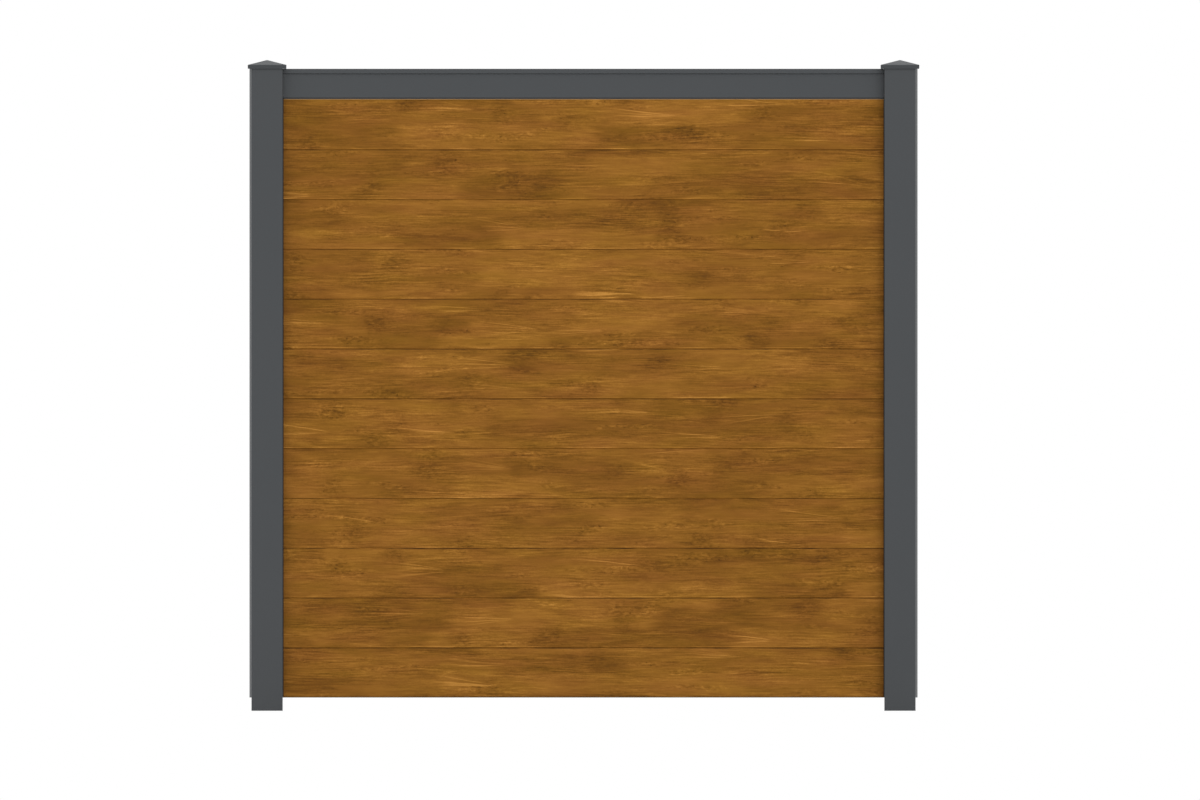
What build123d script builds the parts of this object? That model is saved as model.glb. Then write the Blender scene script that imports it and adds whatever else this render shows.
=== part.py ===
from build123d import *
import os
from math import atan, degrees, hypot

# Slot-in aluminium fence panel: two slotted posts, interlocking boards and a top rail
# X runs along the fence, the front faces -Y, Z rises from the ground; all sizes in millimetres

# Layout
clear_span = 1812.0  # between the facing sides of the two posts
ground_gap = 40.0  # from the ground to the lowest board
board_count = 12
board_pitch = 150.0  # height of the face that each board shows

# Post extrusion, slotted on both sides
post_width = 94.0
post_depth = 94.0
post_wall = 2.5
post_corner = 2.0
slot_width = 26.0
slot_depth = 24.0
groove_inset = 6.0  # from the side of the post to the bead groove in each slot flank
groove_width = 2.4
groove_depth = 1.0
port_inset = 6.5  # from the faces of the post to the axis of a screw port
port_bore = 5.2
port_wall = 2.0
port_mouth = 2.6  # slit along each port

# Board extrusion: a spigot on top enters the open channel of the next board
board_thickness = 20.0
board_wall = 1.6
board_insert = 20.0  # length of each end that sits in the slot
spigot_height = 14.0
spigot_play = 0.4
spigot_lead = 1.2
spigot_headroom = 1.0
joint_chamfer = 1.4
web_count = 2
web_thickness = 1.4

# Top rail extrusion, seated on the spigot of the highest board
rail_height = 91.1
rail_thickness = 30.0
rail_wall = 2.0
rail_reveal = 2.4  # spigot that stays in view under the rail
foot_rise = 5.0  # bevel along the lower edges of the rail
foot_run = 4.0
lip_height = 14.5
lip_projection = 5.0
lip_round = 1.5

# Moulded plug that keys a rail end into its slot
plug_flange = 1.6
plug_inset = 0.3  # flange edge inside the outline of the rail
plug_play = 0.3
plug_end_play = 0.1  # between the flange and the post
plug_reach = 60.0
plug_tongue = 20.0
plug_wall = 2.5
plug_lead = 1.5

# Post cap: drafted fascia under a low pyramid, with lugs inside the post
cap_side_overhang = 11.5  # covers the ends of the slot covers
cap_face_overhang = 5.0
cap_draft = 0.5  # fascia drawn in towards its lower edge
cap_fascia = 11.7
cap_rise = 14.4
cap_peak = 3.0
cap_wall = 2.5
cap_bevel = 1.0
cap_lift = 0.1  # above the top of the rail
cap_grip = 7.0  # length of post inside the fascia
cap_rib = 2.0
rib_spread = 52.0
lug_drop = 18.0
web_drop = 12.0  # web between the front and back lugs, below the top of the post
lug_thickness = 2.0
lug_play = 0.3
front_lug_width = 44.0
side_lug_width = 12.0

# Snap-in cover over the outer slot
cover_projection = 6.0
cover_width = 60.0
cover_bevel = 14.0
cover_round = 1.2
cover_wall = 1.6
cover_headroom = 1.0
cover_leg = 12.0
cover_play = 0.3

# Seal strip between a slot flank and the boards
seal_leg = 12.0
seal_flange = 2.5
seal_width = 7.0
seal_round = 0.9
seal_headroom = 0.5
bead_play = 0.2

# Block in the foot of each inner slot, held by one screw, that carries the lowest board
rest_play = 0.3
rest_recess = 1.0
rest_floor = 6.0
rest_chamfer = 0.8
screw_shank = 3.5
screw_fit = 0.1
screw_head = 7.0
screw_head_height = 2.4
screw_head_bevel = 1.0
screw_tip = 1.8
screw_past_wall = 2.0
drive_length = 4.0
drive_width = 0.9
drive_depth = 1.3
counterbore_play = 0.8

# Positions that follow from the sizes above
inner_face = clear_span / 2
post_x = inner_face + post_width / 2
outer_face = inner_face + post_width
slot_floor = inner_face + slot_depth
board_length = clear_span + 2 * board_insert
channel_width = board_thickness - 2 * board_wall
channel_depth = spigot_height + spigot_headroom
spigot_thickness = channel_width - 2 * spigot_play
boards_top = ground_gap + board_count * board_pitch
rail_base = boards_top + rail_reveal
rail_top = rail_base + rail_height
rail_channel = spigot_height - rail_reveal
rail_neck = rail_height - lip_height
rail_end = inner_face - plug_end_play - plug_flange
seat_height = rail_channel + rail_wall
foot_floor = foot_rise + rail_wall
cap_base = rail_top + cap_lift
eave = cap_base + cap_fascia
peak = eave + cap_rise
post_top = cap_base + cap_grip
cover_top = post_top - cover_headroom
rail_seal_top = rail_base - seal_headroom
seal_thickness = (slot_width - board_thickness) / 2
bead_x = groove_inset + groove_width / 2
bead_width = groove_width - 2 * bead_play
bead_height = groove_depth - bead_play
screw_height = ground_gap / 2
head_seat = slot_floor - rest_play - rest_floor

sides = {"left": -1, "right": 1}
faces = {"front": -1, "back": 1}

os.makedirs("parts", exist_ok=True)


def write(part, label):
    """Name a finished piece and write it."""
    part.label = label
    export_step(part, f"parts/{label}.step")


def across(x, z, side=1):
    """Plane square to the fence's length, facing the given side, with Z up in the sketch."""
    return Plane(origin=(x, 0, z), x_dir=(0, side, 0), z_dir=(side, 0, 0))


def level(side, z):
    """Level plane on the axis of the post on the given side."""
    return Plane(origin=(side * post_x, 0, z))


# Posts
for name, side in sides.items():
    with BuildPart() as post:
        with BuildSketch(level(side, 0)):
            RectangleRounded(post_width, post_depth, post_corner)
            Rectangle(post_width - 2 * post_wall, post_depth - 2 * post_wall, mode=Mode.SUBTRACT)
            # Walls round both slots, the slots, then the bead grooves in their flanks
            pocket = slot_depth + post_wall
            with GridLocations(post_width - pocket, 0, 2, 1):
                Rectangle(pocket, slot_width + 2 * post_wall)
            with GridLocations(post_width - slot_depth, 0, 2, 1):
                Rectangle(slot_depth, slot_width, mode=Mode.SUBTRACT)
            with GridLocations(post_width - 2 * bead_x, 0, 2, 1):
                Rectangle(groove_width, slot_width + 2 * groove_depth, mode=Mode.SUBTRACT)
            # Screw ports filled into the corners, each with a slit towards the middle
            port_x = post_width - 2 * port_inset
            port_y = post_depth - 2 * port_inset
            port_fill = port_inset - post_corner
            port_slit = port_bore / 2 + 2 * port_wall
            with GridLocations(port_x, port_y, 2, 2):
                Circle(port_bore / 2 + port_wall)
            with GridLocations(port_x + port_fill, port_y + port_fill, 2, 2):
                Rectangle(port_fill, port_fill)
            with GridLocations(port_x, port_y, 2, 2):
                Circle(port_bore / 2, mode=Mode.SUBTRACT)
            with GridLocations(port_x - port_slit, port_y, 2, 2):
                Rectangle(port_slit, port_mouth, mode=Mode.SUBTRACT)
        extrude(amount=post_top)
        # Hole for the screw of the board rest, through the floor of the inner slot
        with Locations(Plane(origin=(side * slot_floor, 0, screw_height), z_dir=(-side, 0, 0))):
            Hole(screw_shank / 2 + screw_fit, depth=post_wall)
    write(post.part, f"post_{name}")

# Boards, from the ground up
for row in range(board_count):
    with BuildPart() as board:
        with BuildSketch(across(0, ground_gap + row * board_pitch)) as section:
            Rectangle(board_thickness, board_pitch, align=(Align.CENTER, Align.MIN))
            chamfer(section.vertices(), joint_chamfer)
            with Locations((0, board_pitch - board_wall)):
                Rectangle(spigot_thickness, spigot_height + board_wall, align=(Align.CENTER, Align.MIN))
            chamfer(section.vertices().group_by(Axis.Y)[-1], spigot_lead)
            Rectangle(channel_width, channel_depth, align=(Align.CENTER, Align.MIN), mode=Mode.SUBTRACT)
            # Chambers between the webs, then the chamber inside the spigot
            chambers = web_count + 1
            chambers_base = channel_depth + board_wall
            chambers_height = board_pitch - board_wall - chambers_base
            chamber = (chambers_height - web_count * web_thickness) / chambers
            with Locations((0, chambers_base + chambers_height / 2)):
                with GridLocations(0, chamber + web_thickness, 1, chambers):
                    Rectangle(channel_width, chamber, mode=Mode.SUBTRACT)
            with Locations((0, board_pitch + spigot_height - board_wall)):
                Rectangle(
                    spigot_thickness - 2 * board_wall,
                    spigot_height + board_wall,
                    align=(Align.CENTER, Align.MAX),
                    mode=Mode.SUBTRACT,
                )
        extrude(amount=board_length / 2, both=True)
    write(board.part, f"board_{row + 1:02d}")


def draw_rail_outline(inset):
    """Outline of the rail's body and lip, drawn in by the inset, in the sketch at hand."""
    half = rail_thickness / 2 - inset
    Polygon(
        (foot_run - half, inset),
        (half - foot_run, inset),
        (half, inset + foot_rise),
        (half, rail_height - inset),
        (-half, rail_height - inset),
        (-half, inset + foot_rise),
        align=None,
    )
    with Locations((0, rail_height - lip_height / 2)):
        RectangleRounded(rail_thickness + 2 * (lip_projection - inset), lip_height - 2 * inset, lip_round)


# Top rail
with BuildPart() as top_rail:
    with BuildSketch(across(0, rail_base)):
        draw_rail_outline(0)
        # Chambers of the body and of the lip, then the channel over the spigot
        with Locations((0, foot_floor)):
            Rectangle(
                rail_thickness - 2 * rail_wall,
                rail_neck - foot_floor,
                align=(Align.CENTER, Align.MIN),
                mode=Mode.SUBTRACT,
            )
        with Locations((0, rail_neck + rail_wall)):
            Rectangle(
                rail_thickness + 2 * lip_projection - 2 * rail_wall,
                lip_height - 2 * rail_wall,
                align=(Align.CENTER, Align.MIN),
                mode=Mode.SUBTRACT,
            )
        Rectangle(channel_width + 2 * rail_wall, seat_height, align=(Align.CENTER, Align.MIN))
        Rectangle(channel_width, rail_channel, align=(Align.CENTER, Align.MIN), mode=Mode.SUBTRACT)
    extrude(amount=rail_end, both=True)
write(top_rail.part, "top_rail")

# Rail plugs: cored body in the rail, flange between rail and post, cored tongue in the slot
tongue_width = min(slot_width, rail_thickness - 2 * rail_wall) - 2 * plug_play
body_height = rail_neck - seat_height - plug_play
tongue_height = rail_height - seat_height - plug_inset
plug_blocks = (
    (rail_end, -plug_reach, body_height),
    (rail_end + plug_flange, plug_tongue, tongue_height),
)
for name, side in sides.items():
    with BuildPart() as plug:
        with BuildSketch(across(side * rail_end, rail_base, side)):
            draw_rail_outline(plug_inset)
            Rectangle(channel_width, rail_channel, align=(Align.CENTER, Align.MIN), mode=Mode.SUBTRACT)
        extrude(amount=plug_flange)
        for start, length, height in plug_blocks:
            with BuildSketch(across(side * start, rail_base + seat_height, side)):
                Rectangle(tongue_width, height, align=(Align.CENTER, Align.MIN))
            extrude(amount=length)
        ends = plug.faces().sort_by(Axis.X)
        chamfer(ends[0].edges() + ends[-1].edges(), plug_lead)
        for start, length, height in plug_blocks:
            with BuildSketch(across(side * start, rail_base + seat_height + plug_wall, side)):
                Rectangle(
                    tongue_width - 2 * plug_wall,
                    height - 2 * plug_wall,
                    align=(Align.CENTER, Align.MIN),
                )
            extrude(amount=length, mode=Mode.SUBTRACT)
    write(plug.part, f"rail_plug_{name}")

# Caps: the hollow under each cap leaves its ribs and the roots of its lugs standing
eave_x = post_width / 2 + cap_side_overhang
eave_y = post_depth / 2 + cap_face_overhang
roof_run = min(eave_x, eave_y) - cap_peak / 2
roof_fall = cap_rise / roof_run
roof_drop = cap_wall * hypot(1, roof_fall)
inner_eave = eave + cap_wall * roof_fall - roof_drop
lug_x = post_width / 2 - post_wall - lug_play - lug_thickness / 2
lug_y = post_depth / 2 - post_wall - lug_play - lug_thickness / 2


def hat(side, inset, shoulder, tip):
    """Drafted fascia under a low hipped roof, drawn in from the outer faces by the inset."""
    width = 2 * (eave_x - inset)
    depth = 2 * (eave_y - inset)
    with BuildPart() as solid:
        with BuildSketch(level(side, cap_base)):
            Rectangle(width - 2 * cap_draft, depth - 2 * cap_draft)
        extrude(amount=shoulder - cap_base, taper=-degrees(atan(cap_draft / (shoulder - cap_base))))
        with Locations(level(side, shoulder)):
            Wedge(
                width,
                tip - shoulder,
                depth,
                (width - cap_peak) / 2,
                (depth - cap_peak) / 2,
                (width + cap_peak) / 2,
                (depth + cap_peak) / 2,
                rotation=(90, 0, 0),
                align=(Align.CENTER, Align.MIN, Align.CENTER),
            )
    return solid.part


def draw_lugs():
    """Sections of the lugs along the inside of the post's walls, in the sketch at hand."""
    with GridLocations(0, 2 * lug_y, 1, 2):
        Rectangle(front_lug_width, lug_thickness)
    with GridLocations(2 * lug_x, rib_spread, 2, 2):
        Rectangle(lug_thickness, side_lug_width)


for name, side in sides.items():
    with BuildPart() as hollow:
        add(hat(side, cap_wall, inner_eave, peak - roof_drop))
        with BuildSketch(level(side, post_top)):
            Rectangle(cap_rib, 2 * eave_y)
            with GridLocations(0, rib_spread, 1, 2):
                Rectangle(2 * eave_x, cap_rib)
            draw_lugs()
        extrude(amount=peak - post_top, mode=Mode.SUBTRACT)
    with BuildPart() as cap:
        add(hat(side, 0, eave, peak))
        # Eaves first, then the corners of the fascia
        chamfer(cap.edges().filter_by(Plane.XY).group_by(Axis.Z)[1], cap_bevel)
        chamfer(cap.edges().filter_by(lambda e: cap_base < e.center().Z < eave - cap_bevel), cap_bevel)
        add(hollow.part, mode=Mode.SUBTRACT)
        with BuildSketch(level(side, post_top - lug_drop)):
            draw_lugs()
        extrude(amount=lug_drop)
        with BuildSketch(level(side, post_top - web_drop)):
            Rectangle(cap_rib, 2 * lug_y)
        extrude(amount=web_drop)
    write(cap.part, f"cap_{name}")

# Slot covers: a bevelled hat whose two legs snap into the bead grooves
flank_wall = cover_wall * hypot(cover_projection, cover_bevel) / cover_projection
crown = cover_width / 2 - cover_bevel
leg_y = slot_width / 2 - cover_play - cover_wall / 2
for name, side in sides.items():
    with BuildPart() as cover:
        with BuildSketch(Plane.XY.offset(ground_gap)) as section:
            foot_x = side * outer_face
            crown_x = side * (outer_face + cover_projection)
            roof_x = side * (outer_face + cover_projection - cover_wall)
            Polygon(
                (foot_x, -cover_width / 2),
                (crown_x, -crown),
                (crown_x, crown),
                (foot_x, cover_width / 2),
                align=None,
            )
            fillet(section.vertices().filter_by(lambda v: abs(v.Y) < cover_width / 2), cover_round)
            inner_crown = crown - flank_wall + cover_wall * cover_bevel / cover_projection
            Polygon(
                (foot_x, flank_wall - cover_width / 2),
                (roof_x, -inner_crown),
                (roof_x, inner_crown),
                (foot_x, cover_width / 2 - flank_wall),
                align=None,
                mode=Mode.SUBTRACT,
            )
            leg_length = cover_leg + cover_projection - cover_wall / 2
            with Locations((side * (outer_face - cover_leg + leg_length / 2), 0)):
                with GridLocations(0, 2 * leg_y, 1, 2):
                    Rectangle(leg_length, cover_wall)
            for v in (-1, 1):
                with Locations((side * (outer_face - bead_x), v * slot_width / 2)):
                    Rectangle(bead_width, 2 * bead_height)
        extrude(amount=cover_top - ground_gap)
    write(cover.part, f"slot_cover_{name}")

# Seals
for name, side in sides.items():
    for place, face in faces.items():
        with BuildPart() as seal:
            with BuildSketch(Plane.XY.offset(ground_gap)) as section:
                seal_y = face * board_thickness / 2
                reach = Align.MIN if face > 0 else Align.MAX
                with Locations((side * (inner_face - seal_flange / 2), seal_y)):
                    Rectangle(seal_flange, seal_width, align=(Align.CENTER, reach))
                fillet(section.vertices().filter_by(lambda v: abs(v.X) < inner_face), seal_round)
                with Locations((side * (inner_face + seal_leg / 2), seal_y)):
                    Rectangle(seal_leg, seal_thickness, align=(Align.CENTER, reach))
                with Locations((side * (inner_face + bead_x), seal_y)):
                    Rectangle(bead_width, seal_thickness + bead_height, align=(Align.CENTER, reach))
            extrude(amount=rail_seal_top - ground_gap)
        write(seal.part, f"seal_{name}_{place}")

# Board rests, counterbored for their screws
rest_length = slot_depth - rest_play - rest_recess
for name, side in sides.items():
    with BuildPart() as rest:
        with BuildSketch():
            with Locations((side * (inner_face + rest_recess + rest_length / 2), 0)):
                Rectangle(rest_length, slot_width - 2 * rest_play)
        extrude(amount=ground_gap)
        chamfer(rest.edges().filter_by(Axis.Z), rest_chamfer)
        mouth = side * (inner_face + rest_recess)
        with Locations(Plane(origin=(mouth, 0, screw_height), z_dir=(-side, 0, 0))):
            CounterBoreHole(
                screw_shank / 2 + screw_fit,
                screw_head / 2 + counterbore_play,
                rest_length - rest_floor,
            )
    write(rest.part, f"board_rest_{name}")

# Pan-head screws of the board rests
shank = rest_floor + rest_play + post_wall + screw_past_wall
with BuildPart() as rest_screws:
    for side in sides.values():
        upright = Plane(origin=(side * head_seat, 0, screw_height), x_dir=(1, 0, 0), z_dir=(0, -1, 0))
        with BuildSketch(upright) as section:
            with BuildLine():
                Polyline(
                    (-side * screw_head_height, 0),
                    (-side * screw_head_height, screw_head / 2),
                    (0, screw_head / 2),
                    (0, screw_shank / 2),
                    (side * (shank - screw_tip), screw_shank / 2),
                    (side * shank, 0),
                    close=True,
                )
            make_face()
            rim = section.vertices().filter_by(lambda v: v.X * side < 0 and v.Y > screw_shank / 2)
            chamfer(rim, screw_head_bevel)
        revolve(axis=Axis((side * head_seat, 0, screw_height), (1, 0, 0)))
        # Cross recess in the head
        with BuildSketch(across(side * (head_seat - screw_head_height), screw_height, side)):
            Rectangle(drive_length, drive_width)
            Rectangle(drive_width, drive_length)
        extrude(amount=drive_depth, mode=Mode.SUBTRACT)
write(rest_screws.part, "rest_screws")
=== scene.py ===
import math

import bpy
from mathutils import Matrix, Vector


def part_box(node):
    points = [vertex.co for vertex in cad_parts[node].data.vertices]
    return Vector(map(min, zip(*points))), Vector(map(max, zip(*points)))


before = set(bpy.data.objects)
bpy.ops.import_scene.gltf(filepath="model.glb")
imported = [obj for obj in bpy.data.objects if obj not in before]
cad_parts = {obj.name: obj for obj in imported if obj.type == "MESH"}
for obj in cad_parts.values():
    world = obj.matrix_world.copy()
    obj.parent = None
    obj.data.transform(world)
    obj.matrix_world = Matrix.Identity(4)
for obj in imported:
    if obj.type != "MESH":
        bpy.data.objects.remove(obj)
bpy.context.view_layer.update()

# Places of the boards and of the right post, in metres, read from the frame
BOARDS = sorted(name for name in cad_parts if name.startswith("board_") and name[6:].isdigit())
BOARD_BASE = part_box(BOARDS[0])[0].z
BOARD_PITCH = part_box(BOARDS[1])[0].z - BOARD_BASE
BOARD_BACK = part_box(BOARDS[0])[1].y
POST_LOW, POST_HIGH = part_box("post_right")
POST_X = (POST_LOW.x + POST_HIGH.x) / 2
POST_HALF_WIDTH = (POST_HIGH.x - POST_LOW.x) / 2

# Walls, shoulders and slots that tell coated faces from bare ones, in metres
BOARD_WALL = 0.0014
BOARD_SHOULDER = 0.001
POST_WALL = 0.0023
SLOT_HALF_WIDTH = 0.0132
SLOT_BACK = 0.0228

# Picture frame: width of the view and the point at its centre, in metres
VIEW_WIDTH = 3.614
VIEW_CENTRE_X = 0.0496
VIEW_CENTRE_Z = 0.936
VIEW_DISTANCE = 8.0

# Soft suns: strength, then width, bearing from the camera towards the right, and height, in degrees
SUNS = {"key": (0.66, 50, 26, 24), "fill": (0.50, 60, 200, 60)}
FLOOR_SEEN = 0.95
FLOOR_BOUNCE = 0.3
FLOOR_SIZE = 40.0

# How far each board moves about in the endless print, along and across the grain, in metres
DRAW_ALONG = 59.7
DRAW_ACROSS = 9.0

# Streaks of the print: length and height in metres, seed, and detail and roughness of the noise
STREAKS = {
    "wave": (0.55, 0.11, 3.7, 1.0, 0.5),
    "ripple": (0.14, 0.04, 8.1, 1.0, 0.5),
    "cloud": (0.32, 0.085, 11.3, 2.0, 0.5),
    "patch": (0.10, 0.022, 21.9, 3.0, 0.6),
    "grain": (0.095, 0.0046, 31.1, 3.0, 0.6),
    "fibre": (0.017, 0.0014, 43.7, 2.0, 0.6),
    "hair": (0.016, 0.0005, 45.1, 2.0, 0.6),
    "speck": (0.0048, 0.0044, 37.7, 1.0, 0.5),
    "calm": (0.24, 0.045, 47.9, 1.0, 0.5),
    "ragged": (0.08, 0.0035, 51.7, 1.0, 0.5),
    "swirl": (0.03, 0.008, 53.3, 2.0, 0.5),
    "curl": (0.02, 0.008, 63.1, 1.0, 0.5),
    "smudge": (0.17, 0.12, 59.9, 1.0, 0.5),
    "cluster": (0.17, 0.034, 57.3, 1.5, 0.5),
    "mottle": (0.016, 0.0060, 61.7, 2.0, 0.6),
    "dot": (0.011, 0.0048, 67.9, 1.0, 0.5),
    "stroke": (0.075, 0.0052, 71.3, 1.0, 0.5),
    "pore": (0.050, 0.0036, 83.9, 1.5, 0.5),
    "prick": (0.006, 0.0007, 87.7, 1.0, 0.5),
    "rim": (0.16, 1.0, 91.3, 2.0, 0.5),
    "hue": (0.20, 0.045, 97.1, 1.0, 0.5),
    "groove": (0.075, 1.0, 101.3, 3.0, 0.5),
    "drawn": (0.4, 0.0012, 13.0, 2.0, 0.5),
}
# How far streaks bend the lines of the print, in metres for each unit of noise
BENDS = {"wave": 0.030, "ripple": 0.006, "ragged": 0.09, "swirl": 0.07, "curl": 0.010}
# Values of the noise between which a mark comes up
MARKS = {
    "smudge": (-0.07, -0.27),
    "cluster": (0.06, 0.20),
    "dot": (-0.12, -0.26),
    "stroke": (0.15, 0.30),
    "pore": (-0.16, -0.30),
    "prick": (-0.19, -0.27),
    "rim": (-0.04, 0.12),
}
# Middle tone of the print, and the share of each layer in the tone, the gloss and the relief
MIDDLE_TONE = 0.503
TONE_SHARES = {
    "cloud": 0.22,
    "block": 0.245,
    "patch": 0.42,
    "mottle": 0.95,
    "stroke": 0.14,
    "pore": -0.20,
    "prick": -0.13,
    "dot": -0.30,
    "knot": -0.11,
    "smudge": -0.15,
    "flame": 0.42,
    "rim": 0.27,
}
FINE_SHARES = {"grain": 0.80, "fibre": 0.38, "hair": 0.18, "speck": 0.18}
GLOSS_SHARES = {"grain": 0.7, "fibre": 1.0}
RELIEF_SHARES = {"grain": 1.2, "fibre": 1.0, "hair": 0.5, "pore": -0.4, "prick": -0.5}
# Ranges of the grain's strength, of the mix of the two hues and of the roughness
CALM_RANGE = (0.10, 1.75)
HUE_RANGE = (0.22, 0.78)
WOOD_ROUGHNESS = (0.50, 0.64)
# Share of the mottled figure that a smudge brings out
SMUDGE_FIGURE = 0.5
# Band of the light line along the lower edge of a board, in metres above the edge
RIM_START = (0.0014, 0.0026)
RIM_END = (0.0056, 0.0036)

# Blocks of one tone: their size in metres, and the share of it after which the next tone comes up
BLOCK_LENGTH = 0.31
BLOCK_HEIGHT = 0.062
BLOCK_END = 0.80
BLOCK_TOP = 0.70
BLOCK_SLIDE = 50.0

# Knots: spacing in metres, scatter, size as a share of the spacing, and how many of them show
KNOT_SPACING = 0.26
KNOT_COURSE = 0.19
KNOT_SCATTER = 0.9
KNOT_SIZE = 0.26
KNOT_CHANCE = (0.30, 0.55)

# Flames: spacing in metres, scatter and how many of them show
FLAME_SPACING = 0.42
FLAME_COURSE = 0.085
FLAME_SCATTER = 0.8
FLAME_CHANCE = (0.36, 0.42)
# Flames: lengths of tip and tail from the middle, in metres, and how much the tips differ
FLAME_TIP = 0.03
FLAME_TIP_SPARE = 0.05
FLAME_TAIL = (-0.17, -0.01)
FLAME_BLUNT = 0.006
FLAME_CLOSE = 0.02
# Flames: tilt, half angle, width of a stroke as a slope, and the noise at which strokes come up
FLAME_TILT = 0.09
FLAME_LEVEL = 0.2
FLAME_ANGLE = (0.17, 0.08)
FLAME_STROKE = 0.025
FLAME_STROKE_NOISE = (0.02, 0.17)
FLAME_SEED = 5.5
FLAME_SEED_SPREAD = 90.0

# Painted shade in the joints: drop below the joint and fade in metres, range along a joint, and shares
# by board
GROOVE_DROP = 0.0014
GROOVE_FADE = (0.0019, 0.0006)
GROOVE_RANGE = (-0.05, 0.85)
GROOVE_LEAST = 0.60
GROOVE_SPREAD = 0.9
# Pale base coat on the highest spigot, made pale enough to paint light into the shade under the rail, in
# metres above the boards' pitch
BASE_COAT_RISE = (0.0001, 0.0009)
# Share of painted shade beside the posts and its reach in metres, and of the darker foot of the lowest
# board
POST_SHADE = 0.90
POST_SHADE_REACH = 0.040
FOOT_DARKENING = 0.5
FOOT_FADE = (0.0065, 0.0030)


def linear(red, green, blue):
    """Scene colour of a display colour given in 0 to 255."""
    def channel(value):
        value /= 255
        return value / 12.92 if value <= 0.04045 else ((value + 0.055) / 1.055) ** 2.4
    return (channel(red), channel(green), channel(blue), 1.0)


def stops(*places):
    """Stops of a colour ramp from positions and display colours."""
    return [(position, linear(*colour)) for position, colour in places]


GOLDEN = stops(
    (0.0, (90, 59, 4)),
    (0.3, (122, 82, 11)),
    (0.5, (143, 98, 23)),
    (0.72, (168, 117, 36)),
    (1.0, (202, 145, 60)),
)
RUDDY = stops(
    (0.0, (91, 53, 11)),
    (0.3, (126, 76, 22)),
    (0.5, (147, 92, 33)),
    (0.72, (170, 111, 45)),
    (1.0, (205, 140, 66)),
)
# Pale base coat, made pale enough to be painted light in the shade under the rail
BASE_COAT_PAINTED_LIGHT = linear(226, 178, 116)
# Painted shade in the joints
GROOVE_SHADE_COLOUR = linear(70, 42, 12)
# Painted shade beside the posts
POST_SHADE_COLOUR = linear(70, 44, 14)
FOOT_COLOUR = linear(62, 44, 22)
BARE_METAL = stops((0.2, (150, 152, 154)), (0.8, (176, 178, 180)))
ZINC = stops((0.2, (150, 152, 156)), (0.8, (198, 199, 200)))
# Scene colours of the dark coats
ANTHRACITE = [
    (0.1, (0.038, 0.0425, 0.047, 1)),
    (0.5, (0.0445, 0.0495, 0.054, 1)),
    (0.9, (0.052, 0.058, 0.063, 1)),
]
# Lighter grey of the edges: painted highlight, and coat worn thin
EDGE_SHEEN_AND_WEAR = (0.082, 0.088, 0.094, 1)
RUBBER = [(0.2, (0.010, 0.010, 0.011, 1)), (0.8, (0.026, 0.026, 0.027, 1))]
MOULDED = [(0.2, (0.013, 0.013, 0.014, 1)), (0.8, (0.030, 0.030, 0.032, 1))]
# Fineness of the drawn lines in bare metal and rubber
METAL_LINES = 900
RUBBER_LINES = 1600
RUBBER_LENGTHWISE = 6


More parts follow.
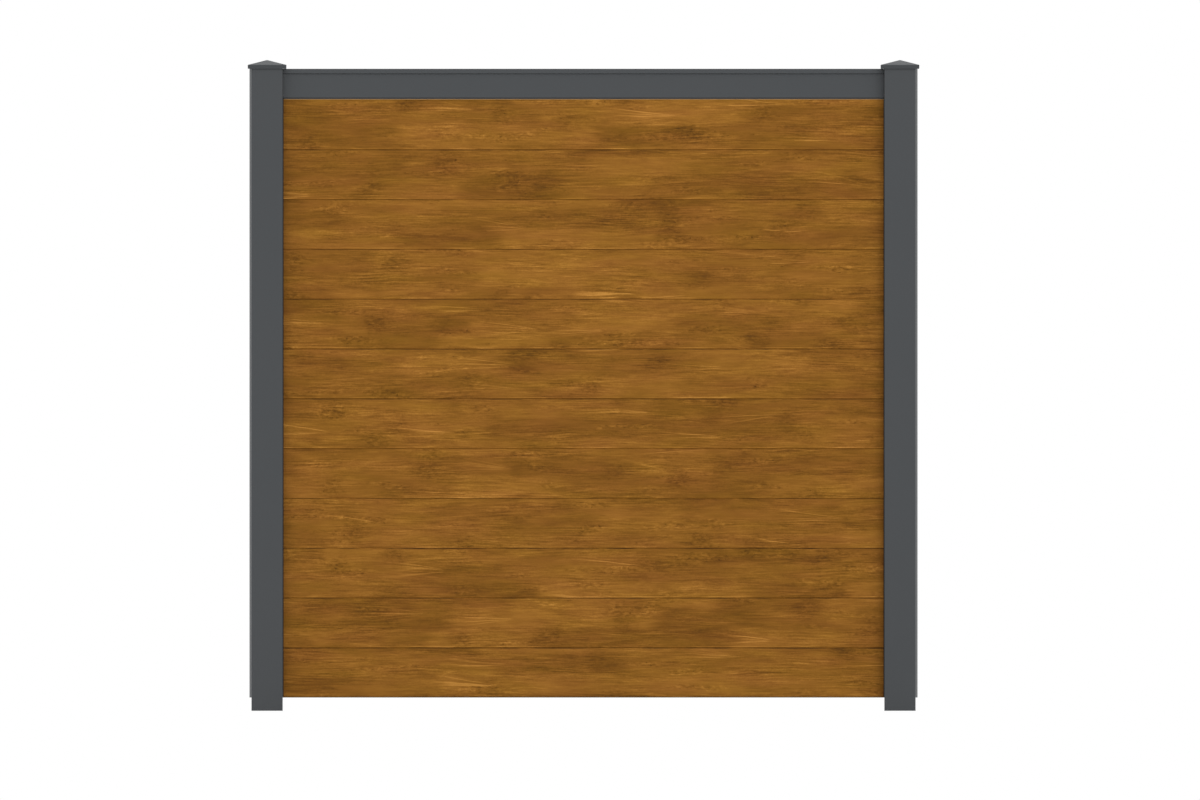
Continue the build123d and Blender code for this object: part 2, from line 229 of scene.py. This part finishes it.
class Paint:
    """A node material in the making, with short ways to add nodes and join them."""

    def __init__(self, name, **constants):
        self.material = bpy.data.materials.new(name)
        self.material.use_nodes = True
        self.tree = self.material.node_tree
        self.shader = self.tree.nodes["Principled BSDF"]
        for socket, value in constants.items():
            self.shader.inputs[socket.replace("_", " ")].default_value = value
        self.place = self.add("ShaderNodeTexCoord").outputs["Object"]
        self.x, self.y, self.z = self.add("ShaderNodeSeparateXYZ", Vector=self.place).outputs

    def add(self, kind, settings=None, **inputs):
        """New node; inputs are values or the outputs of other nodes."""
        node = self.tree.nodes.new(kind)
        for key, value in (settings or {}).items():
            setattr(node, key, value)
        for key, value in inputs.items():
            self.feed(node.inputs[key.replace("_", " ")], value)
        return node

    def feed(self, socket, value):
        """Gives a socket a value or the output of a node."""
        if isinstance(value, bpy.types.NodeSocket):
            self.tree.links.new(value, socket)
        else:
            socket.default_value = value

    def wire(self, socket, value):
        """Joins an output to a socket of the shader."""
        self.tree.links.new(value, self.shader.inputs[socket])

    def calc(self, operation, *values, clamp=False):
        node = self.add("ShaderNodeMath", {"operation": operation, "use_clamp": clamp})
        for socket, value in zip(node.inputs, values):
            self.feed(socket, value)
        return node.outputs[0]

    def total(self, *values):
        result = values[0]
        for value in values[1:]:
            result = self.calc("ADD", result, value)
        return result

    def times(self, *values):
        result = values[0]
        for value in values[1:]:
            result = self.calc("MULTIPLY", result, value)
        return result

    def weighted(self, layers, shares):
        """Sum of the named layers, each times its share."""
        return self.total(*(self.times(layers[name], share) for name, share in shares.items()))

    def point(self, x, y, z):
        return self.add("ShaderNodeCombineXYZ", X=x, Y=y, Z=z).outputs[0]

    def red_green_blue(self, colour):
        """The three parts of a colour, used as three random values."""
        return self.add("ShaderNodeSeparateColor", Color=colour).outputs

    def noise(self, vector, detail=2.0, roughness=0.5, scale=1.0):
        """Noise about zero."""
        node = self.add(
            "ShaderNodeTexNoise", Vector=vector, Scale=scale, Detail=detail, Roughness=roughness
        )
        return self.calc("SUBTRACT", node.outputs[0], 0.5)

    def streaks(self, along, up, length, height, seed, detail, roughness):
        """Noise drawn out along the grain: length and height of a streak in metres."""
        spot = self.point(self.calc("DIVIDE", along, length), self.calc("DIVIDE", up, height), seed)
        return self.noise(spot, detail, roughness)

    def stretch(self, node, value, start, end):
        """Feeds a Map Range node with a value and the ranges that it goes from and to."""
        keys = ("Value", "From Min", "From Max", "To Min", "To Max")
        for key, part in zip(keys, (value, *start, *end)):
            self.feed(node.inputs[key], part)
        return node.outputs[0]

    def step(self, value, low, high):
        """Smooth rise from 0 to 1 between two values; falls if high is below low."""
        node = self.add("ShaderNodeMapRange", {"interpolation_type": "SMOOTHSTEP"})
        end = (0.0, 1.0) if low < high else (1.0, 0.0)
        return self.stretch(node, value, (min(low, high), max(low, high)), end)

    def span(self, value, low, high):
        """Takes a value about zero, between -0.25 and 0.25, to a range."""
        return self.stretch(self.add("ShaderNodeMapRange"), value, (-0.25, 0.25), (low, high))

    def draw(self, first, second):
        """White noise for each pair of numbers: a value from 0 to 1 and a colour."""
        pair = self.point(first, second, 0.0)
        return self.add("ShaderNodeTexWhiteNoise", {"noise_dimensions": "2D"}, Vector=pair).outputs

    def between(self, factor, first, second):
        return self.calc("MULTIPLY_ADD", factor, self.calc("SUBTRACT", second, first), first)

    def bricks(self, along, up, length, height):
        """Blocks of one tone each, in courses along the grain: a value from 0 to 1."""
        course = self.calc("DIVIDE", up, height)
        tones = []
        for lift in (0.0, 1.0):
            number = self.calc("ADD", self.calc("FLOOR", course), lift)
            slide = self.draw(number, 0.5)["Value"]
            place = self.calc("MULTIPLY_ADD", slide, BLOCK_SLIDE, self.calc("DIVIDE", along, length))
            first = self.calc("FLOOR", place)
            ends = [self.draw(self.calc("ADD", first, side), number)["Value"] for side in (0.0, 1.0)]
            tones.append(self.between(self.step(self.calc("FRACT", place), BLOCK_END, 1.0), *ends))
        return self.between(self.step(self.calc("FRACT", course), BLOCK_TOP, 1.0), *tones)

    def cells(self, along, up, length, height, randomness):
        """Scattered cells of about this length and height: their outputs."""
        place = self.point(self.calc("DIVIDE", along, length), self.calc("DIVIDE", up, height), 0.0)
        settings = {"voronoi_dimensions": "2D", "feature": "F1"}
        return self.add(
            "ShaderNodeTexVoronoi", settings, Vector=place, Scale=1.0, Randomness=randomness
        ).outputs

    def ramp(self, value, shades):
        """Colour ramp through positions and scene colours."""
        node = self.add("ShaderNodeValToRGB", Fac=value)
        points = node.color_ramp.elements
        while len(points) < len(shades):
            points.new(0.5)
        for point, (position, colour) in zip(points, shades):
            point.position = position
            point.color = colour
        return node.outputs[0]

    def blend(self, factor, first, second):
        """Mix of two colours."""
        node = self.add("ShaderNodeMix", {"data_type": "RGBA"})
        for number, value in ((0, factor), (6, first), (7, second)):
            self.feed(node.inputs[number], value)
        return node.outputs[2]

    def bump(self, height, distance, strength):
        node = self.add("ShaderNodeBump", Height=height, Distance=distance, Strength=strength)
        self.wire("Normal", node.outputs[0])


class Print:
    """The printed wood figure of the boards: its coordinates and its layers."""

    def __init__(self, paint):
        self.paint = paint
        p = paint
        rows = p.calc("DIVIDE", p.calc("SUBTRACT", p.z, BOARD_BASE - 1e-5), BOARD_PITCH)
        rows = p.calc("MINIMUM", p.calc("FLOOR", rows), len(BOARDS) - 1.0)
        self.row = p.calc("MAXIMUM", rows, 0.0)
        base = p.times(self.row, BOARD_PITCH)
        self.height = p.calc("SUBTRACT", p.calc("SUBTRACT", p.z, BOARD_BASE), base)
        # Front and back of every board show a stretch of their own
        back = p.calc("GREATER_THAN", p.y, 0.0)
        luck = p.red_green_blue(p.draw(self.row, back)["Color"])
        self.luck = luck[2]
        self.along = p.calc("ADD", p.x, p.times(luck[0], DRAW_ALONG))
        # Gentle waves bend every layer of the grain
        self.up = p.calc("ADD", self.height, p.times(luck[1], DRAW_ACROSS))
        waves = [self.layer(name) for name in ("wave", "ripple")]
        self.up = p.total(self.up, p.times(waves[0], BENDS["wave"]), p.times(waves[1], BENDS["ripple"]))

    def layer(self, name, along=None, up=None):
        """One set of streaks, on the grain unless another place is given."""
        along = self.along if along is None else along
        up = self.up if up is None else up
        return self.paint.streaks(along, up, *STREAKS[name])

    def mark(self, name, along=None, up=None):
        """Marks where a set of streaks is strong."""
        return self.paint.step(self.layer(name, along, up), *MARKS[name])

    def bent(self, name, line):
        """A coordinate of the print bent by a set of streaks."""
        return self.paint.calc("MULTIPLY_ADD", self.layer(name), BENDS[name], line)

    def knots(self):
        """Small dark knots with frayed sides."""
        p = self.paint
        cells = p.cells(self.bent("swirl", self.along), self.up, KNOT_SPACING, KNOT_COURSE, KNOT_SCATTER)
        chance = p.red_green_blue(cells["Color"])[0]
        return p.times(p.step(cells["Distance"], KNOT_SIZE, 0.0), p.step(chance, *KNOT_CHANCE))

    def flames(self):
        """Fans of fine bright strokes that close to a tip on the right."""
        p = self.paint
        cells = p.cells(self.along, self.up, FLAME_SPACING, FLAME_COURSE, FLAME_SCATTER)
        middle = p.add("ShaderNodeSeparateXYZ", Vector=cells["Position"]).outputs
        luck = p.red_green_blue(cells["Color"])
        right = p.calc("SUBTRACT", self.along, p.times(middle[0], FLAME_SPACING))
        above = p.calc("SUBTRACT", self.up, p.times(middle[1], FLAME_COURSE))
        tilt = p.calc("SUBTRACT", luck[1], FLAME_LEVEL)
        above = p.calc("MULTIPLY_ADD", tilt, p.times(right, FLAME_TILT), above)
        tip = p.calc("MULTIPLY_ADD", luck[0], FLAME_TIP_SPARE, FLAME_TIP)
        to_tip = p.calc("SUBTRACT", tip, right)
        spread = p.calc("ADD", p.calc("MAXIMUM", to_tip, FLAME_BLUNT), FLAME_CLOSE)
        slope = p.calc("DIVIDE", above, spread)
        seed = p.times(luck[1], FLAME_SEED_SPREAD)
        strokes = p.streaks(seed, slope, 1.0, FLAME_STROKE, FLAME_SEED, 1.0, 0.5)
        return p.times(
            p.step(strokes, *FLAME_STROKE_NOISE),
            p.step(p.calc("ABSOLUTE", slope), *FLAME_ANGLE),
            p.step(to_tip, 0.0, FLAME_CLOSE),
            p.step(right, *FLAME_TAIL),
            p.step(luck[2], *FLAME_CHANCE),
        )

    def layers(self):
        """All layers of the figure by name."""
        p = self.paint
        plain = ("cloud", "patch", "grain", "fibre", "hair", "speck")
        found = {name: self.layer(name) for name in plain}
        found.update({name: self.mark(name) for name in ("stroke", "pore", "prick")})
        # Blocks that differ in tone, and dark smudges across the grain, both with ragged ends
        ragged = self.bent("ragged", self.along)
        block = p.bricks(ragged, self.up, BLOCK_LENGTH, BLOCK_HEIGHT)
        found["block"] = p.calc("SUBTRACT", block, 0.5)
        found["smudge"] = self.mark("smudge", ragged)
        found["knot"] = self.knots()
        found["flame"] = self.flames()
        # Mottled figure in long clusters, round the knots and in the smudges
        dark = p.calc("MAXIMUM", found["knot"], p.times(found["smudge"], SMUDGE_FIGURE))
        cluster = p.calc("MAXIMUM", self.mark("cluster"), dark)
        curl = self.bent("curl", self.up)
        found["mottle"] = p.times(cluster, self.layer("mottle", up=curl))
        found["dot"] = p.times(cluster, self.mark("dot", up=curl))
        # Broken light line along the lower edge of each board
        band = p.times(p.step(self.height, *RIM_START), p.step(self.height, *RIM_END))
        found["rim"] = p.times(self.mark("rim", up=0.0), band)
        return found

    def coat(self, layers):
        """Colour of the clean print."""
        p = self.paint
        # Calm stretches, where the grain fades into plain wood
        calm = p.span(self.layer("calm"), *CALM_RANGE)
        fine = p.times(p.weighted(layers, FINE_SHARES), calm)
        tone = p.total(MIDDLE_TONE, p.weighted(layers, TONE_SHARES), fine)
        hue = p.span(self.layer("hue"), *HUE_RANGE)
        return p.blend(hue, p.ramp(tone, GOLDEN), p.ramp(tone, RUDDY))

    def with_painted_shade_and_light(self, coat):
        """The coat with painted shade in the joints and beside the posts, a darker foot, and a pale base
        coat with painted light where the print ends.
        """
        p = self.paint
        # Painted shade lies unevenly in the joints, mostly on the boards' upper edges, and not under the
        # rail
        highest = p.calc("GREATER_THAN", self.row, len(BOARDS) - 1.5)
        below_top = p.calc("ADD", p.calc("SUBTRACT", BOARD_PITCH - GROOVE_DROP, self.height), highest)
        edge = p.calc("MINIMUM", p.calc("ADD", self.height, GROOVE_DROP), below_top)
        uneven = p.span(self.layer("groove", up=0.0), *GROOVE_RANGE)
        uneven = p.times(uneven, p.calc("MULTIPLY_ADD", self.luck, GROOVE_SPREAD, GROOVE_LEAST))
        groove = p.calc("MULTIPLY", p.step(edge, *GROOVE_FADE), uneven, clamp=True)
        coat = p.blend(groove, coat, GROOVE_SHADE_COLOUR)
        # Pale base coat on the highest spigot, which the print doesn't reach, made pale enough to paint
        # light into the shade under the rail
        bare = p.step(self.height, *(BOARD_PITCH + rise for rise in BASE_COAT_RISE))
        coat = p.blend(bare, coat, BASE_COAT_PAINTED_LIGHT)
        # Painted shade at the ends of the boards, beside the posts
        from_post = p.calc("SUBTRACT", POST_LOW.x, p.calc("ABSOLUTE", p.x))
        near = p.step(from_post, POST_SHADE_REACH, -POST_SHADE_REACH)
        coat = p.blend(p.times(p.calc("POWER", near, 2.0), POST_SHADE), coat, POST_SHADE_COLOUR)
        # Darker along the foot of the lowest board
        above_foot = p.calc("SUBTRACT", p.z, BOARD_BASE)
        return p.blend(p.times(p.step(above_foot, *FOOT_FADE), FOOT_DARKENING), coat, FOOT_COLOUR)


def make_wood():
    """Printed wood effect on the boards, with bare metal inside their chambers."""
    p = Paint("wood_effect", Specular_IOR_Level=0.12)
    figure = Print(p)
    layers = figure.layers()
    coat = figure.with_painted_shade_and_light(figure.coat(layers))
    inside = p.times(
        p.calc("LESS_THAN", p.calc("ABSOLUTE", p.y), BOARD_BACK - BOARD_WALL),
        p.calc("LESS_THAN", figure.height, BOARD_PITCH - BOARD_SHOULDER),
    )
    drawn = figure.layer("drawn", p.x, p.total(p.z, p.y))
    bare = p.ramp(p.calc("ADD", drawn, 0.5), BARE_METAL)
    p.wire("Base Color", p.blend(inside, coat, bare))
    p.wire("Metallic", inside)
    p.wire("Roughness", p.span(p.weighted(layers, GLOSS_SHARES), *WOOD_ROUGHNESS))
    p.bump(p.weighted(layers, RELIEF_SHARES), distance=0.00025, strength=0.35)
    return p.material


def make_grey(name, smooth, rough, gloss=0.5, metal_inside=False):
    """Anthracite powder coat with a fine texture; bare metal inside the posts where asked."""
    p = Paint(name, Specular_IOR_Level=gloss)
    haze = p.noise(p.place, 3.0, 0.5, scale=3.5)
    flow = p.noise(p.place, 2.0, 0.5, scale=190.0)
    peel = p.noise(p.place, 2.0, 0.6, scale=820.0)
    tone = p.total(0.5, p.times(haze, 0.6), p.times(flow, 0.4), p.times(peel, 0.9))
    colour = p.ramp(tone, ANTHRACITE)
    # Painted highlight along sharp edges, where the coat is also worn thin
    rounded = p.add("ShaderNodeBevel", {"samples": 4}, Radius=0.0012).outputs[0]
    turn = p.add("ShaderNodeVectorMath", {"operation": "DOT_PRODUCT"})
    p.feed(turn.inputs[0], rounded)
    p.feed(turn.inputs[1], p.add("ShaderNodeNewGeometry").outputs["Normal"])
    edge_sheen_and_wear = p.times(p.step(turn.outputs["Value"], 0.98, 0.80), p.step(haze, -0.10, 0.14), 0.5)
    colour = p.blend(edge_sheen_and_wear, colour, EDGE_SHEEN_AND_WEAR)
    if metal_inside:
        inside = inside_post(p)
        lines = p.noise(p.point(p.times(p.x, METAL_LINES), p.times(p.y, METAL_LINES), p.z))
        colour = p.blend(inside, colour, p.ramp(p.calc("ADD", lines, 0.5), BARE_METAL))
        p.wire("Metallic", inside)
    p.wire("Base Color", colour)
    p.wire("Roughness", p.span(p.total(haze, p.times(peel, 0.6)), smooth, rough))
    p.bump(p.total(p.times(flow, 0.6), peel), distance=0.00025, strength=0.45)
    return p.material


def inside_post(p):
    """One within the hollow of a post and nought on its faces and in its slots."""
    from_axis = p.calc("ABSOLUTE", p.calc("SUBTRACT", p.calc("ABSOLUTE", p.x), POST_X))
    from_middle = p.calc("ABSOLUTE", p.y)
    half_hollow = POST_HALF_WIDTH - POST_WALL
    in_slot = p.times(
        p.calc("LESS_THAN", from_middle, SLOT_HALF_WIDTH), p.calc("GREATER_THAN", from_axis, SLOT_BACK)
    )
    hollow = p.times(
        p.calc("LESS_THAN", from_axis, half_hollow), p.calc("LESS_THAN", from_middle, half_hollow)
    )
    return p.times(hollow, p.calc("SUBTRACT", 1.0, in_slot))


def make_rubber():
    """Matt black extruded rubber with fine lines along its length and a little dust."""
    p = Paint("seal_rubber", Specular_IOR_Level=0.3)
    across = [p.times(place, RUBBER_LINES) for place in (p.x, p.y)]
    lines = p.noise(p.point(*across, p.times(p.z, RUBBER_LENGTHWISE)))
    dust = p.noise(p.place, 4.0, 0.6, scale=60.0)
    p.wire("Base Color", p.ramp(p.total(0.5, p.times(lines, 0.6), dust), RUBBER))
    p.wire("Roughness", p.span(dust, 0.68, 0.86))
    p.bump(lines, distance=0.0002, strength=0.4)
    return p.material


def make_moulded():
    """Black moulded plastic with a fine spark-eroded texture."""
    p = Paint("moulded_black")
    spark = p.noise(p.place, 3.0, 0.65, scale=900.0)
    flow = p.noise(p.place, 2.0, 0.5, scale=45.0)
    p.wire("Base Color", p.ramp(p.total(0.5, p.times(spark, 0.7), p.times(flow, 0.6)), MOULDED))
    p.wire("Roughness", p.span(p.total(spark, flow), 0.46, 0.66))
    p.bump(spark, distance=0.0001, strength=0.4)
    return p.material


def make_zinc():
    """Zinc-plated steel with a cloudy plating."""
    p = Paint("zinc_steel", Metallic=1.0)
    cloud = p.noise(p.place, 3.0, 0.6, scale=420.0)
    speck = p.noise(p.place, 2.0, 0.6, scale=2600.0)
    p.wire("Base Color", p.ramp(p.total(0.5, cloud, p.times(speck, 0.5)), ZINC))
    p.wire("Roughness", p.span(p.total(cloud, speck), 0.26, 0.46))
    p.bump(speck, distance=0.00006, strength=0.4)
    return p.material


def dress():
    """Gives every node of the frame its material."""
    moulded = make_moulded()
    finishes = (
        ("post_", make_grey("coated_grey_post", 0.52, 0.64, metal_inside=True)),
        ("cap_", make_grey("coated_grey_matt", 0.48, 0.60, gloss=0.36)),
        ("slot_cover_", make_grey("coated_grey_satin", 0.24, 0.34)),
        ("top_rail", make_grey("coated_grey", 0.52, 0.64)),
        ("seal_", make_rubber()),
        ("rail_plug_", moulded),
        ("board_rest_", moulded),
        ("rest_screws", make_zinc()),
        ("board_", make_wood()),
    )
    for name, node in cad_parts.items():
        finish = next(material for start, material in finishes if name.startswith(start))
        node.data.materials.clear()
        node.data.materials.append(finish)


def make_floor():
    """Pale floor that shows the shadow; the bounce from it is kept plain."""
    half = FLOOR_SIZE / 2
    corners = [(-half, -half, 0), (half, -half, 0), (half, half, 0), (-half, half, 0)]
    mesh = bpy.data.meshes.new("floor")
    mesh.from_pydata(corners, [], [(0, 1, 2, 3)])
    floor = bpy.data.objects.new("floor", mesh)
    bpy.context.scene.collection.objects.link(floor)
    p = Paint("floor", Roughness=0.9, Specular_IOR_Level=0.0)
    path = p.add("ShaderNodeLightPath").outputs
    seen = p.calc("MAXIMUM", path["Is Camera Ray"], path["Is Glossy Ray"])
    seen = p.calc("MAXIMUM", seen, path["Is Transmission Ray"])
    plain = (FLOOR_BOUNCE, FLOOR_BOUNCE, FLOOR_BOUNCE, 1)
    pale = (FLOOR_SEEN, FLOOR_SEEN, FLOOR_SEEN, 1)
    p.wire("Base Color", p.blend(seen, plain, pale))
    mesh.materials.append(p.material)


def make_light():
    """A soft sun from the front right, another from behind, and an even white surrounding."""
    for name, (strength, width, bearing, height) in SUNS.items():
        data = bpy.data.lights.new(name, "SUN")
        data.energy = strength
        data.angle = math.radians(width)
        sun = bpy.data.objects.new(name, data)
        sun.rotation_euler = (math.radians(90 - height), 0, math.radians(bearing))
        bpy.context.scene.collection.objects.link(sun)
    world = bpy.data.worlds.new("surrounding")
    world.use_nodes = True
    white = world.node_tree.nodes["Background"].inputs
    white["Color"].default_value = (1, 1, 1, 1)
    white["Strength"].default_value = 1.0
    bpy.context.scene.world = world


def make_camera():
    """Level view square to the front, without perspective."""
    data = bpy.data.cameras.new("camera")
    data.type = "ORTHO"
    data.ortho_scale = VIEW_WIDTH
    camera = bpy.data.objects.new("camera", data)
    camera.location = (VIEW_CENTRE_X, -VIEW_DISTANCE, VIEW_CENTRE_Z)
    camera.rotation_euler = (math.pi / 2, 0, 0)
    bpy.context.scene.collection.objects.link(camera)
    bpy.context.scene.camera = camera


dress()
make_floor()
make_light()
make_camera()
bpy.context.scene.view_settings.view_transform = "Standard"
